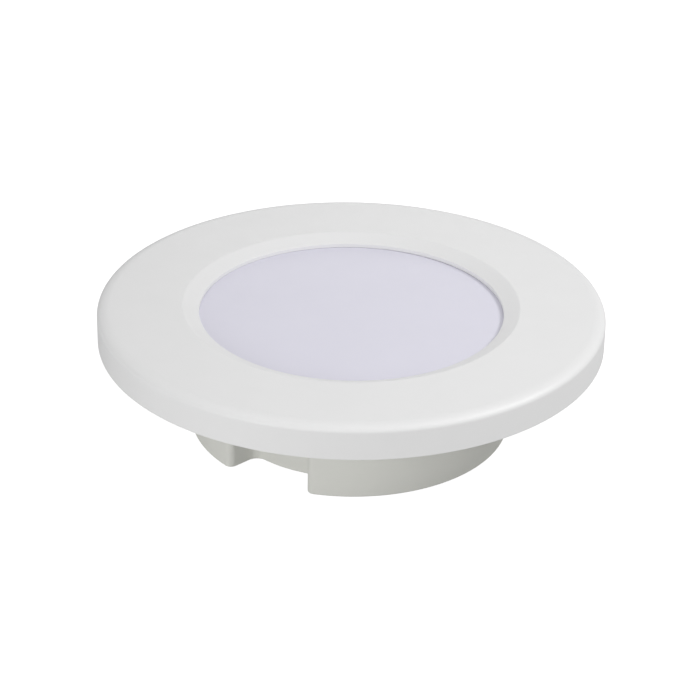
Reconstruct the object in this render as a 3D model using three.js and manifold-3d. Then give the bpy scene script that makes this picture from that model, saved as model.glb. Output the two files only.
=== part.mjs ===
// Underwater pool light with a twist-on trim ring, a frosted lens and a rear can.
// Millimetres. +Z points out of the lens. The origin is the centre of the can's rear face.
import * as THREE from "three";
import { mergeVertices } from "three/addons/utils/BufferGeometryUtils.js";
import Module from "manifold-3d";

const wasm = await Module();
wasm.setup();

// ---- Driving dimensions ----

// Outside
const DEPTH = 64;
const FACE_RADIUS = 125;
const RIM_HEIGHT = 17.2;
const RIM_EDGE_WIDTH = 8;
const RIM_EDGE_DROP = 3.9;
const BEVEL_OUTER_RADIUS = 83;
const BEVEL_DROP = 3.4;
const BEVEL_THICKNESS = 1.6;
const LIP_RADIUS = 75.1;
const LIP_THICKNESS = 2;
const LENS_DROP = 5.5;
const CAN_RADIUS = 79.5;
const CAN_WALL_TOP_Z = 51.7;
const WALL = 2.5;

// Cable bay in the can's side
const BAY_CENTRE_DEG = -120.5;
const BAY_WIDTH_DEG = 31.5;
const BAY_INNER_RADIUS = 61.8;
const BAY_MOUTH_ROUNDING = 3.5;
const BAY_CORNER_FILLET = 5.5;
const BAY_ROOF_Z = 38;

// Mounting flange, a ring under the trim ring that is bonded round the can
const COLLAR_RADIUS = 84;
const FLANGE_RADIUS = 121.5;
const FLANGE_FRONT_Z = 53;
const SEAL_LAND_WIDTH = 6;
const HUB_RADIUS = 98.5;
const HUB_REAR_Z = 48.3;
const RIB_COUNT = 24;
const RIB_WIDTH = 2;
const FIXING_COUNT = 4;
const FIXING_CIRCLE_RADIUS = 108;
const FIXING_HOLE_RADIUS = 2.75;
const FIXING_BOSS_RADIUS = 6.5;

// Lens seat, lens and clamp ring
const SEAT_Z = 52;
const SEAT_WALL_INNER_RADIUS = 89;
const SEAT_WALL_OUTER_RADIUS = 97;
const SEAT_WALL_TOP_Z = 56.1;
const LENS_THICKNESS = 2.5;
const LENS_STEP_RADIUS = 80;
const LENS_FLANGE_RADIUS = 88;
const LENS_FLANGE_Z = 53.6;
const CLAMP_RING_Z = 56.4;
const CLAMP_RING_THICKNESS = 3;
const CLAMP_SCREW_COUNT = 6;
const CLAMP_SCREW_CIRCLE_RADIUS = 93;
const CLAMP_SCREW_HOLE_RADIUS = 2.3;
const CLAMP_HOLE_LOW_Z = 49.4;
const CLAMP_SCREW = { headRadius: 3.6, headHeight: 1.4, shankRadius: 2, shankLength: 9.5, socket: 2.5 };
const GASKET_RADII = [80.5, 87.5];

// Bayonet between the trim ring and the flange
const BAYONET_COUNT = 4;
const BAYONET_FIRST_DEG = 45;
const HOOK_HALF_DEG = 5;
const HOOK_INNER_RADIUS = 102.5;
const HOOK_STEM_RADIUS = 106.5;
const HOOK_TOE_RADIUS = 111.5;
const HOOK_LOW_Z = 54.6;
const HOOK_TOE_TOP_Z = 57.2;
const CLAW_OPEN_END_DEG = 6;
const CLAW_STOP_END_DEG = -7.2;
const CLAW_STOP_FACE_DEG = -5.2;
const CLAW_TIP_RADIUS = 107;
const CLAW_POST_RADIUS = 112;
const CLAW_OUTER_RADIUS = 115;
const CLAW_LOW_Z = 57.6;
const CLAW_TOP_Z = 59.9;

// Light engine
const SPREADER_Z = 41.3;
const SPREADER_THICKNESS = 2;
const SPREADER_RADIUS = 75.5;
const PAD_Z = 43.6;
const PAD_THICKNESS = 0.5;
const PAD_RADIUS = 72;
const BOARD_Z = 44.4;
const BOARD_THICKNESS = 1.6;
const BOARD_RADIUS = 74;
const BOARD_SCREW_COUNT = 3;
const BOARD_SCREW_FIRST_DEG = 60;
const BOARD_SCREW_CIRCLE_RADIUS = 70;
const BOARD_BOSS_RADIUS = 4;
const BOARD_BOSS_WEB_TOP_Z = 39;
const BOARD_HOLE_LOW_Z = 32;
const BOARD_SCREW = { headRadius: 2.8, headHeight: 1.6, shankRadius: 1.5, shankLength: 13, socket: 2 };
const SMALL_SCREW_HOLE_RADIUS = 1.8;
const REFLECTOR_TOP_Z = 55.5;
const REFLECTOR_RADII = [61.5, 63.2, 75.2, 76.4];
const BOARD_CONNECTOR = { x: 13.5, size: [7, 8, 5] };
const LEAD_HOLE_RADIUS = 6;
const LED_RINGS = [
  { count: 8, radius: 50, firstDeg: 22.5 },
  { count: 4, radius: 22, firstDeg: 45 },
];

// Driver, with each component's place on its board
const DRIVER_BOARD_Z = 8.3;
const DRIVER_BOARD_THICKNESS = 1.6;
const DRIVER_BOARD_SIZE = [96, 64];
const DRIVER_SCREW_INSET = 4;
const DRIVER_POST_RADIUS = 3.5;
const DRIVER_SCREW = { headRadius: 2.8, headHeight: 1.6, shankRadius: 1.5, shankLength: 5.5, socket: 2 };
const INPUT_CAPACITOR = { x: 28, y: 14, radius: 6.25, height: 20 };
const OUTPUT_CAPACITOR = { x: 28, y: -12, radius: 5, height: 16 };
const RECTIFIER = { x: -30, y: 8, size: [15, 4, 11] };
const INDUCTOR = { x: 10, y: -18, radius: 8, coreRadius: 6.5, height: 11, flange: 2 };
const CHIP = { x: -10, y: 20, size: [12, 6, 2.2], standOff: 0.2, legPitch: 3, legWidth: 0.8 };
const TRANSISTOR = { x: 8, y: 20, size: [6.6, 6, 2.3], tabWidth: 5.2, tabReach: 5.5, tabThickness: 0.9 };
const TERMINAL_BLOCK = { x: -30, y: -20, size: [12, 10, 10], wayOffset: 3, screwRise: 5 };
const DRIVER_CONNECTOR = { x: -3, y: 0, size: [7, 9, 8] };
const LEAD_RADIUS = 0.9;
const LEAD_OFFSET = 1.8;

// Cable gland in the bay. Its stations are distances from the can's axis.
const GLAND_Z = 27;
const GLAND_PAD_OUTER = 63;
const GLAND_PAD_INNER = 57.8;
const GLAND_PAD_RADIUS = 10.5;
const GLAND_HOLE_RADIUS = 6.3;
const GLAND_HEX_ACROSS_FLATS = 17;
const GLAND_BARREL_RADIUS = 6;
const GLAND_BARREL_END = 50;
const GLAND_HEX_THICKNESS = 4;
const GLAND_SPIGOT_RADIUS = 6.6;
const GLAND_SPIGOT_END = 74;
const LOCKNUT_END = 52.5;
const O_RING = { inner: 6.7, outer: 8.2, thickness: 1.2 };
const SEAL = { inner: 3.3, outer: 4.9, from: 66.3, to: 75.5 };
const SEAL_SEAT_RADIUS = 5.2;
const CAP_NUT = { from: 69.1, hexEnd: 76, end: 78.3, domeRadius: 8.3, endRadius: 6.4 };
const CAP_NUT_THREAD_RADIUS = 6.9;
const CABLE_BORE_RADIUS = 3.8;

const GAP = 0.3;
const MERGE = 1e-4;
const ROUND_LARGE = 64;
const ROUND_MEDIUM = 36;
const ROUND_COMPONENT = 16;
const ROUND_SMALL = 12;

const RIM_REAR_Z = DEPTH - RIM_HEIGHT;
const LENS_TOP_Z = DEPTH - LENS_DROP;
const CAN_INNER_RADIUS = CAN_RADIUS - WALL;
const BOARD_TOP_Z = BOARD_Z + BOARD_THICKNESS;
const BOSS_TOP_Z = SPREADER_Z - GAP;
const BOSS_ROOT_Z = WALL - 0.5;
const DRIVER_TOP_Z = DRIVER_BOARD_Z + DRIVER_BOARD_THICKNESS;

const FINISHES = {
  trim_white: { color: 0xf1f1f1, roughness: 0.45, metalness: 0 },
  lens_frosted: { color: 0xe6e4f2, roughness: 0.55, metalness: 0 },
  can_grey: { color: 0xd2d4cd, roughness: 0.55, metalness: 0 },
  clamp_white: { color: 0xe9e9e6, roughness: 0.5, metalness: 0 },
  silicone: { color: 0xc9cbc8, roughness: 0.8, metalness: 0 },
  black_rubber: { color: 0x1c1c1c, roughness: 0.85, metalness: 0 },
  stainless: { color: 0xc4c6c8, roughness: 0.3, metalness: 1 },
  aluminium: { color: 0xb9bcbf, roughness: 0.4, metalness: 1 },
  thermal_grey: { color: 0x8f9499, roughness: 0.9, metalness: 0 },
  board_white: { color: 0xf4f4ef, roughness: 0.4, metalness: 0 },
  board_green: { color: 0x1d5b3a, roughness: 0.45, metalness: 0 },
  phosphor: { color: 0xf2d24a, roughness: 0.6, metalness: 0 },
  gland_grey: { color: 0xb4b7b3, roughness: 0.5, metalness: 0 },
  component_black: { color: 0x202124, roughness: 0.5, metalness: 0 },
  component_green: { color: 0x3b7d4f, roughness: 0.5, metalness: 0 },
  connector_white: { color: 0xe8e6dc, roughness: 0.5, metalness: 0 },
  lead_red: { color: 0xb02a22, roughness: 0.6, metalness: 0 },
};

// ---- Solids ----

const rad = THREE.MathUtils.degToRad;

function polar(radius, angleDeg) {
  return [radius * Math.cos(rad(angleDeg)), radius * Math.sin(rad(angleDeg))];
}

// Points of an arc, both ends included.
function arc(cx, cy, radius, fromDeg, toDeg, steps) {
  const points = [];
  for (let i = 0; i <= steps; i += 1) {
    const [x, y] = polar(radius, fromDeg + ((toDeg - fromDeg) * i) / steps);
    points.push([cx + x, cy + y]);
  }
  return points;
}

function toVectors(points) {
  return points.map(([x, y]) => new THREE.Vector2(x, y));
}

// A profile of [radius, z] points turned round Z, which starts and ends on the axis or is closed
// into a ring.
function revolve(profile, segments = ROUND_MEDIUM) {
  const onAxis = profile[0][0] === 0;
  const loop = onAxis ? profile : [...profile, profile[0]];
  return new THREE.LatheGeometry(toVectors(loop), segments).rotateX(Math.PI / 2);
}

// An outline in XY between two heights, with optional holes.
function prism(outline, z0, z1, holes = []) {
  const shape = new THREE.Shape(toVectors(outline));
  shape.holes = holes.map((hole) => new THREE.Path(toVectors(hole)));
  const options = { depth: z1 - z0, bevelEnabled: false };
  return new THREE.ExtrudeGeometry(shape, options).translate(0, 0, z0);
}

function circle(radius, x = 0, y = 0, segments = ROUND_SMALL) {
  return arc(x, y, radius, 0, 360, segments).slice(0, -1);
}

function cylinder(radius, z0, z1, x = 0, y = 0, segments = ROUND_SMALL) {
  return prism(circle(radius, x, y, segments), z0, z1);
}

function block(x0, x1, y0, y1, z0, z1) {
  return prism([[x0, y0], [x1, y0], [x1, y1], [x0, y1]], z0, z1);
}

// A box of that size centred on the axis, standing on z = 0.
function standing([length, width, height], z0 = 0) {
  return block(-length / 2, length / 2, -width / 2, width / 2, z0, z0 + height);
}

function hexagon(acrossFlats) {
  return circle(acrossFlats / Math.sqrt(3), 0, 0, 6);
}

// Part of a ring between two radii, two angles and two heights.
function ringSector(r0, r1, fromDeg, toDeg, z0, z1, steps = 4) {
  const outer = arc(0, 0, r1, fromDeg, toDeg, steps);
  const inner = arc(0, 0, r0, toDeg, fromDeg, steps);
  return prism([...outer, ...inner], z0, z1);
}

function toSolid(geometry) {
  const bare = geometry.clone();
  bare.deleteAttribute("normal");
  bare.deleteAttribute("uv");
  const merged = mergeVertices(bare, MERGE);
  const vertProperties = merged.attributes.position.array;
  const triVerts = new Uint32Array(merged.index.array);
  return new wasm.Manifold(new wasm.Mesh({ numProp: 3, vertProperties, triVerts }));
}

function toGeometry(made) {
  const mesh = made.getMesh();
  const geometry = new THREE.BufferGeometry();
  geometry.setAttribute("position", new THREE.BufferAttribute(mesh.vertProperties, 3));
  geometry.setIndex(new THREE.BufferAttribute(mesh.triVerts, 1));
  const flat = geometry.toNonIndexed();
  flat.computeVertexNormals();
  return flat;
}

// One body made of some geometries, less others.
function combine(added, removed = []) {
  let made = toSolid(added[0]);
  added.slice(1).forEach((geometry) => {
    made = made.add(toSolid(geometry));
  });
  removed.forEach((geometry) => {
    made = made.subtract(toSolid(geometry));
  });
  return toGeometry(made);
}

// Angles of count equal steps round a circle.
function aroundCircle(count, firstDeg = 0) {
  return Array.from({ length: count }, (_, i) => firstDeg + (360 * i) / count);
}

// ---- Scene graph ----

function piece(name, geometry, finish) {
  const mesh = new THREE.Mesh(geometry, new THREE.MeshStandardMaterial(FINISHES[finish]));
  mesh.name = name;
  return mesh;
}

function place(object, x, y, z, turnDeg = 0) {
  object.position.set(x, y, z);
  object.rotation.z = rad(turnDeg);
  return object;
}

// Numbered copies on a circle, each turned to face outwards.
function ringOfPieces(name, geometry, finish, radius, z, anglesDeg, firstNumber = 1) {
  return anglesDeg.map((angle, i) => {
    const [x, y] = polar(radius, angle);
    return place(piece(`${name}_${firstNumber + i}`, geometry, finish), x, y, z, angle);
  });
}

function group(...objects) {
  const made = new THREE.Group();
  made.add(...objects.flat());
  return made;
}

// ---- Trim ring ----

// Quarter of an ellipse from the rim to the face.
function rimEdge(width, drop, steps) {
  return arc(0, 0, 1, 0, 90, steps).map(([x, y]) => [FACE_RADIUS - RIM_EDGE_WIDTH + width * x, DEPTH - RIM_EDGE_DROP + drop * y]);
}

function trimRingProfile() {
  const bevelEnd = DEPTH - BEVEL_DROP;
  const lipEnd = LENS_TOP_Z + GAP;
  const lipBack = LIP_RADIUS + LIP_THICKNESS;
  return [
    [FACE_RADIUS, RIM_REAR_Z],
    ...rimEdge(RIM_EDGE_WIDTH, RIM_EDGE_DROP, 6),
    [BEVEL_OUTER_RADIUS, DEPTH],
    [LIP_RADIUS, bevelEnd],
    [LIP_RADIUS, lipEnd],
    [lipBack, lipEnd],
    [lipBack, bevelEnd - BEVEL_THICKNESS],
    [BEVEL_OUTER_RADIUS + 0.9, DEPTH - WALL],
    ...rimEdge(RIM_EDGE_WIDTH - WALL, RIM_EDGE_DROP - WALL, 4).reverse(),
    [FACE_RADIUS - WALL, RIM_REAR_Z],
  ];
}

// Hook under the face: a stem, and a toe that points outwards under the flange's claw.
function hook(angle) {
  const from = angle - HOOK_HALF_DEG;
  const to = angle + HOOK_HALF_DEG;
  const stemTop = DEPTH - WALL + GAP;
  const stem = ringSector(HOOK_INNER_RADIUS, HOOK_STEM_RADIUS, from, to, HOOK_LOW_Z, stemTop);
  const toe = ringSector(HOOK_STEM_RADIUS - 0.5, HOOK_TOE_RADIUS, from, to, HOOK_LOW_Z, HOOK_TOE_TOP_Z);
  return [stem, toe];
}

function trimRing() {
  const hooks = aroundCircle(BAYONET_COUNT, BAYONET_FIRST_DEG).flatMap(hook);
  const geometry = combine([revolve(trimRingProfile(), ROUND_LARGE), ...hooks]);
  return piece("trim_ring", geometry, "trim_white");
}

// ---- Rear can ----

// Outline of the cable bay, cut from outside the can. grow moves its walls into the material round it.
function bayOutline(grow) {
  const mouth = { x: Math.sqrt((CAN_RADIUS - BAY_MOUTH_ROUNDING) ** 2 - BAY_MOUTH_ROUNDING ** 2) };
  mouth.radius = BAY_MOUTH_ROUNDING - grow;
  mouth.offDeg = THREE.MathUtils.radToDeg(Math.atan2(BAY_MOUTH_ROUNDING, mouth.x));
  const cornerReach = BAY_INNER_RADIUS + BAY_CORNER_FILLET;
  const corner = { x: Math.sqrt(cornerReach ** 2 - BAY_CORNER_FILLET ** 2) };
  corner.radius = BAY_CORNER_FILLET + grow;
  corner.offDeg = THREE.MathUtils.radToDeg(Math.asin(BAY_CORNER_FILLET / cornerReach));
  const half = BAY_WIDTH_DEG / 2;
  const innerRadius = BAY_INNER_RADIUS - grow;

  // The half on the counter-clockwise side, in a frame whose X axis lies along that side wall.
  const outsideRadius = CAN_RADIUS + 5;
  const wallSide = [
    polar(outsideRadius, mouth.offDeg),
    ...arc(mouth.x, BAY_MOUTH_ROUNDING, mouth.radius, mouth.offDeg, -90, 5),
    ...arc(corner.x, -BAY_CORNER_FILLET, corner.radius, 90, 180 - corner.offDeg, 5),
  ];
  const turned = wallSide.map(([x, y]) => {
    const angle = THREE.MathUtils.radToDeg(Math.atan2(y, x)) + half;
    return polar(Math.hypot(x, y), angle);
  });
  const innerEnd = half - corner.offDeg;
  const inner = arc(0, 0, innerRadius, innerEnd, -innerEnd, 6).slice(1, -1);
  const mirrored = turned.map(([x, y]) => [x, -y]).reverse();
  const outline = [...turned, ...inner, ...mirrored];
  const [cos, sin] = polar(1, BAY_CENTRE_DEG);
  return outline.map(([x, y]) => [x * cos - y * sin, x * sin + y * cos]);
}

// The hollow of the can, which the bay's walls and roof bulge into.
function canHollow() {
  const inside = [
    [0, WALL],
    [CAN_INNER_RADIUS, WALL],
    [CAN_INNER_RADIUS, DEPTH],
    [0, DEPTH],
  ];
  return combine(
    [revolve(inside, ROUND_LARGE)],
    [prism(bayOutline(WALL), -1, BAY_ROOF_Z + WALL)],
  );
}

// Boss for a board screw, with a rib that ties it to the can's wall.
function boardBoss(angle) {
  const [x, y] = polar(BOARD_SCREW_CIRCLE_RADIUS, angle);
  const webEnd = CAN_INNER_RADIUS + 1;
  const web = block(
    BOARD_SCREW_CIRCLE_RADIUS, webEnd, -1.5, 1.5, BOSS_ROOT_Z, BOARD_BOSS_WEB_TOP_Z,
  );
  return [cylinder(BOARD_BOSS_RADIUS, BOSS_ROOT_Z, BOSS_TOP_Z, x, y), web.rotateZ(rad(angle))];
}

function driverCorners() {
  const x = DRIVER_BOARD_SIZE[0] / 2 - DRIVER_SCREW_INSET;
  const y = DRIVER_BOARD_SIZE[1] / 2 - DRIVER_SCREW_INSET;
  return [[x, y], [-x, y], [-x, -y], [x, -y]];
}

// A cylinder along the gland's axis, between two distances from the can's axis.
function glandCylinder(radius, from, to) {
  const bar = cylinder(radius, from, to, 0, 0, ROUND_SMALL).rotateY(Math.PI / 2);
  return bar.rotateZ(rad(BAY_CENTRE_DEG)).translate(0, 0, GLAND_Z);
}

function rearCan() {
  const outside = [
    [0, 0],
    [CAN_RADIUS, 0],
    [CAN_RADIUS, CAN_WALL_TOP_Z],
    [0, CAN_WALL_TOP_Z],
  ];
  const shell = combine(
    [revolve(outside, ROUND_LARGE)],
    [canHollow(), prism(bayOutline(0), -1, BAY_ROOF_Z)],
  );
  const boardAngles = aroundCircle(BOARD_SCREW_COUNT, BOARD_SCREW_FIRST_DEG);
  const boardCentres = boardAngles.map((angle) => polar(BOARD_SCREW_CIRCLE_RADIUS, angle));
  const added = [
    shell,
    ...boardAngles.flatMap(boardBoss),
    ...driverCorners().map(([x, y]) =>
      cylinder(DRIVER_POST_RADIUS, BOSS_ROOT_Z, DRIVER_BOARD_Z - GAP, x, y),
    ),
    glandCylinder(GLAND_PAD_RADIUS, GLAND_PAD_INNER, GLAND_PAD_OUTER),
  ];
  const holes = [
    ...boardCentres.map(([x, y]) =>
      cylinder(SMALL_SCREW_HOLE_RADIUS, BOARD_HOLE_LOW_Z, DEPTH, x, y),
    ),
    ...driverCorners().map(([x, y]) =>
      cylinder(SMALL_SCREW_HOLE_RADIUS, WALL + 1, DRIVER_BOARD_Z, x, y),
    ),
    glandCylinder(GLAND_HOLE_RADIUS, GLAND_BARREL_END, GLAND_PAD_OUTER + 1),
  ];
  return piece("rear_can", combine(added, holes), "can_grey");
}

// ---- Mounting flange ----

function flangeProfile() {
  const bore = CAN_RADIUS + GAP;
  const plateRear = FLANGE_FRONT_Z - WALL;
  const landInner = FLANGE_RADIUS - SEAL_LAND_WIDTH;
  return [
    [bore, RIM_REAR_Z],
    [COLLAR_RADIUS, RIM_REAR_Z],
    [COLLAR_RADIUS, HUB_REAR_Z],
    [HUB_RADIUS, HUB_REAR_Z],
    [HUB_RADIUS, plateRear],
    [landInner, plateRear],
    [landInner, RIM_REAR_Z],
    [FLANGE_RADIUS, RIM_REAR_Z],
    [FLANGE_RADIUS, FLANGE_FRONT_Z],
    [SEAT_WALL_OUTER_RADIUS, FLANGE_FRONT_Z],
    [SEAT_WALL_OUTER_RADIUS, SEAT_WALL_TOP_Z],
    [SEAT_WALL_INNER_RADIUS, SEAT_WALL_TOP_Z],
    [SEAT_WALL_INNER_RADIUS, SEAT_Z],
    [bore, SEAT_Z],
  ];
}

function rib(angle) {
  const end = FLANGE_RADIUS - SEAL_LAND_WIDTH + 1;
  const top = FLANGE_FRONT_Z - WALL + 0.2;
  const bar = block(COLLAR_RADIUS - 1, end, -RIB_WIDTH / 2, RIB_WIDTH / 2, RIM_REAR_Z, top);
  return bar.rotateZ(rad(angle));
}

// Claw that holds one of the trim ring's hooks: a post, an overhang and a stop at its closed end.
function claw(angle) {
  const from = angle + CLAW_STOP_END_DEG;
  const to = angle + CLAW_OPEN_END_DEG;
  const root = FLANGE_FRONT_Z - 0.5;
  const overlap = CLAW_POST_RADIUS + 0.5;
  const stopEnd = angle + CLAW_STOP_FACE_DEG;
  return [
    ringSector(CLAW_POST_RADIUS, CLAW_OUTER_RADIUS, from, to, root, CLAW_TOP_Z),
    ringSector(CLAW_TIP_RADIUS, overlap, from, to, CLAW_LOW_Z, CLAW_TOP_Z),
    ringSector(CLAW_TIP_RADIUS, overlap, from, stopEnd, root, CLAW_LOW_Z + 0.4, 1),
  ];
}

function mountingFlange() {
  const fixingAngles = aroundCircle(FIXING_COUNT);
  const bossTop = FLANGE_FRONT_Z - WALL + 0.5;
  const fixingBosses = fixingAngles.map((angle) =>
    cylinder(FIXING_BOSS_RADIUS, RIM_REAR_Z, bossTop, ...polar(FIXING_CIRCLE_RADIUS, angle)),
  );
  const fixingHoles = fixingAngles.map((angle) =>
    cylinder(FIXING_HOLE_RADIUS, RIM_REAR_Z - 1, DEPTH, ...polar(FIXING_CIRCLE_RADIUS, angle)),
  );
  const clampHoles = aroundCircle(CLAMP_SCREW_COUNT).map((angle) => {
    const centre = polar(CLAMP_SCREW_CIRCLE_RADIUS, angle);
    return cylinder(CLAMP_SCREW_HOLE_RADIUS, CLAMP_HOLE_LOW_Z, DEPTH, ...centre);
  });
  const added = [
    revolve(flangeProfile(), ROUND_LARGE),
    ...aroundCircle(RIB_COUNT).map(rib),
    ...fixingBosses,
    ...aroundCircle(BAYONET_COUNT, BAYONET_FIRST_DEG).flatMap(claw),
  ];
  const geometry = combine(added, [...fixingHoles, ...clampHoles]);
  return piece("mounting_flange", geometry, "can_grey");
}

// ---- Lens ----

function lens() {
  const underside = LENS_TOP_Z - LENS_THICKNESS;
  const profile = [
    [0, underside],
    [LENS_STEP_RADIUS - LENS_THICKNESS, underside],
    [LENS_STEP_RADIUS - LENS_THICKNESS, LENS_FLANGE_Z],
    [LENS_FLANGE_RADIUS, LENS_FLANGE_Z],
    [LENS_FLANGE_RADIUS, LENS_FLANGE_Z + LENS_THICKNESS],
    [LENS_STEP_RADIUS, LENS_FLANGE_Z + LENS_THICKNESS],
    [LENS_STEP_RADIUS, LENS_TOP_Z - 0.4],
    [LENS_STEP_RADIUS - 0.4, LENS_TOP_Z],
    [0, LENS_TOP_Z],
  ];
  return piece("lens_diffuser", revolve(profile, ROUND_LARGE), "lens_frosted");
}

function flatRing(r0, r1, z0, z1, segments = ROUND_MEDIUM) {
  return revolve([[r0, z0], [r1, z0], [r1, z1], [r0, z1]], segments);
}

function lensGasket() {
  const ring = flatRing(...GASKET_RADII, SEAT_Z + GAP, LENS_FLANGE_Z - GAP);
  return piece("lens_gasket", ring, "silicone");
}

function lensClampRing() {
  const outline = circle(SEAT_WALL_OUTER_RADIUS, 0, 0, ROUND_MEDIUM);
  const screwHoles = aroundCircle(CLAMP_SCREW_COUNT).map((angle) =>
    circle(CLAMP_SCREW_HOLE_RADIUS, ...polar(CLAMP_SCREW_CIRCLE_RADIUS, angle)),
  );
  const holes = [circle(LENS_STEP_RADIUS + 0.5, 0, 0, ROUND_MEDIUM), ...screwHoles];
  const ring = prism(outline, CLAMP_RING_Z, CLAMP_RING_Z + CLAMP_RING_THICKNESS, holes);
  return piece("lens_clamp_ring", ring, "clamp_white");
}

// A socket-head screw whose head stands on z = 0.
function screwGeometry({ headRadius, headHeight, shankRadius, shankLength, socket }) {
  const profile = [
    [0, -shankLength],
    [shankRadius, -shankLength],
    [shankRadius, 0],
    [headRadius, 0],
    [headRadius, headHeight],
    [0, headHeight],
  ];
  const recess = prism(hexagon(socket), headHeight * 0.4, headHeight + 1);
  return combine([revolve(profile, ROUND_SMALL)], [recess]);
}

function clampScrews() {
  const seat = CLAMP_RING_Z + CLAMP_RING_THICKNESS + GAP;
  const geometry = screwGeometry(CLAMP_SCREW);
  const angles = aroundCircle(CLAMP_SCREW_COUNT);
  return ringOfPieces("clamp_screw", geometry, "stainless", CLAMP_SCREW_CIRCLE_RADIUS, seat, angles);
}

// ---- Light engine ----

function reflectorCone() {
  const bottom = BOARD_TOP_Z + GAP;
  const [footInner, footOuter, topInner, topOuter] = REFLECTOR_RADII;
  const profile = [
    [footInner, bottom],
    [footOuter, bottom],
    [topOuter, REFLECTOR_TOP_Z - 0.3],
    [topOuter, REFLECTOR_TOP_Z],
    [topInner, REFLECTOR_TOP_Z],
  ];
  return piece("reflector_cone", revolve(profile), "board_white");
}

// A round plate with the lead hole in its middle and a hole for each board screw.
function enginePlate(radius, z, thickness) {
  const screwHoles = aroundCircle(BOARD_SCREW_COUNT, BOARD_SCREW_FIRST_DEG).map((angle) =>
    circle(SMALL_SCREW_HOLE_RADIUS, ...polar(BOARD_SCREW_CIRCLE_RADIUS, angle)),
  );
  const outline = circle(radius, 0, 0, ROUND_MEDIUM);
  return prism(outline, z, z + thickness, [circle(LEAD_HOLE_RADIUS), ...screwHoles]);
}

function ledGeometry() {
  const body = block(-2.5, 2.5, -2.5, 2.5, 0, 1.4);
  return combine([body], [cylinder(2, 1.1, 2, 0, 0, 8)]);
}

function leds() {
  const geometry = ledGeometry();
  const z = BOARD_TOP_Z + GAP;
  let number = 1;
  return LED_RINGS.flatMap((ring) => {
    const angles = aroundCircle(ring.count, ring.firstDeg);
    const made = ringOfPieces("led", geometry, "phosphor", ring.radius, z, angles, number);
    number += ring.count;
    return made;
  });
}

function boardScrews() {
  const geometry = screwGeometry(BOARD_SCREW);
  const angles = aroundCircle(BOARD_SCREW_COUNT, BOARD_SCREW_FIRST_DEG);
  const z = BOARD_TOP_Z + GAP;
  return ringOfPieces("board_screw", geometry, "stainless", BOARD_SCREW_CIRCLE_RADIUS, z, angles);
}

// Insulated lead from the driver up through the plates and over to the board's connector.
function supplyLead(number, y, finish) {
  const start = DRIVER_CONNECTOR.x;
  const startZ = DRIVER_TOP_Z + DRIVER_CONNECTOR.size[2] + 2 * GAP;
  const end = BOARD_CONNECTOR.x - BOARD_CONNECTOR.size[0] / 2 - GAP;
  const endZ = BOARD_TOP_Z + 3.2;
  const route = [
    [start, startZ],
    [start, (startZ + BOARD_Z) / 2],
    [start + 0.2, BOARD_Z - 0.4],
    [start + 1.8, endZ - 1.4],
    [start + 6, endZ],
    [end, endZ],
  ];
  const path = new THREE.CatmullRomCurve3(route.map(([x, z]) => new THREE.Vector3(x, y, z)));
  const section = new THREE.Shape(toVectors(circle(LEAD_RADIUS, 0, 0, 8)));
  const geometry = new THREE.ExtrudeGeometry(section, { steps: 14, extrudePath: path });
  return piece(`supply_lead_${number}`, geometry, finish);
}

function lightEngine() {
  const spreader = enginePlate(SPREADER_RADIUS, SPREADER_Z, SPREADER_THICKNESS);
  const pad = enginePlate(PAD_RADIUS, PAD_Z, PAD_THICKNESS);
  const board = enginePlate(BOARD_RADIUS, BOARD_Z, BOARD_THICKNESS);
  const connector = piece("led_board_connector", standing(BOARD_CONNECTOR.size), "connector_white");
  return group(
    piece("heat_spreader", spreader, "aluminium"),
    piece("thermal_pad", pad, "thermal_grey"),
    piece("led_board", board, "board_white"),
    place(connector, BOARD_CONNECTOR.x, 0, BOARD_TOP_Z + GAP),
    reflectorCone(),
    boardScrews(),
    leds(),
    supplyLead(1, LEAD_OFFSET, "lead_red"),
    supplyLead(2, -LEAD_OFFSET, "component_black"),
  );
}

// ---- Driver ----

function driverBoard() {
  const [x, y] = DRIVER_BOARD_SIZE.map((side) => side / 2);
  const outline = [[x, -y], [x, y], [-x, y], [-x, -y]];
  const holes = driverCorners().map((centre) => circle(SMALL_SCREW_HOLE_RADIUS, ...centre));
  return piece("driver_board", prism(outline, DRIVER_BOARD_Z, DRIVER_TOP_Z, holes), "board_green");
}

function driverScrews() {
  const geometry = screwGeometry(DRIVER_SCREW);
  return driverCorners().map(([x, y], i) =>
    place(piece(`driver_screw_${i + 1}`, geometry, "stainless"), x, y, DRIVER_TOP_Z + GAP),
  );
}

function boxGeometry({ size }) {
  return standing(size);
}

// Electrolytic capacitor: a can with a crimped groove above its base.
function capacitorGeometry({ radius, height }) {
  const groove = { z: 2.1, halfWidth: 0.6, depth: 0.4 };
  const shoulder = 0.6;
  return revolve([
    [0, 0],
    [radius, 0],
    [radius, groove.z - groove.halfWidth],
    [radius - groove.depth, groove.z],
    [radius, groove.z + groove.halfWidth],
    [radius, height - shoulder],
    [radius - shoulder, height],
    [0, height],
  ], ROUND_COMPONENT);
}

// Drum core, widest at its two flanges.
function inductorGeometry({ radius, coreRadius, height, flange }) {
  const slope = 0.6;
  return revolve([
    [0, 0],
    [radius, 0],
    [radius, flange],
    [coreRadius, flange + slope],
    [coreRadius, height - flange - slope],
    [radius, height - flange],
    [radius, height],
    [0, height],
  ], ROUND_COMPONENT);
}

// A small-outline chip with four legs on each long side.
function chipGeometry({ size, standOff, legPitch, legWidth }) {
  const reach = size[1] + 2.8;
  const legs = [-1.5, -0.5, 0.5, 1.5].map((step) =>
    standing([legWidth, reach, 0.8]).translate(step * legPitch, 0, 0),
  );
  return combine([standing(size, standOff), ...legs]);
}

// Power package with a metal tab that sticks out on one side.
function transistorGeometry({ size, tabWidth, tabReach, tabThickness }) {
  const tab = block(-tabWidth / 2, tabWidth / 2, size[1] / 2 - 1, tabReach, 0, tabThickness);
  return combine([standing(size), tab]);
}

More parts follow.
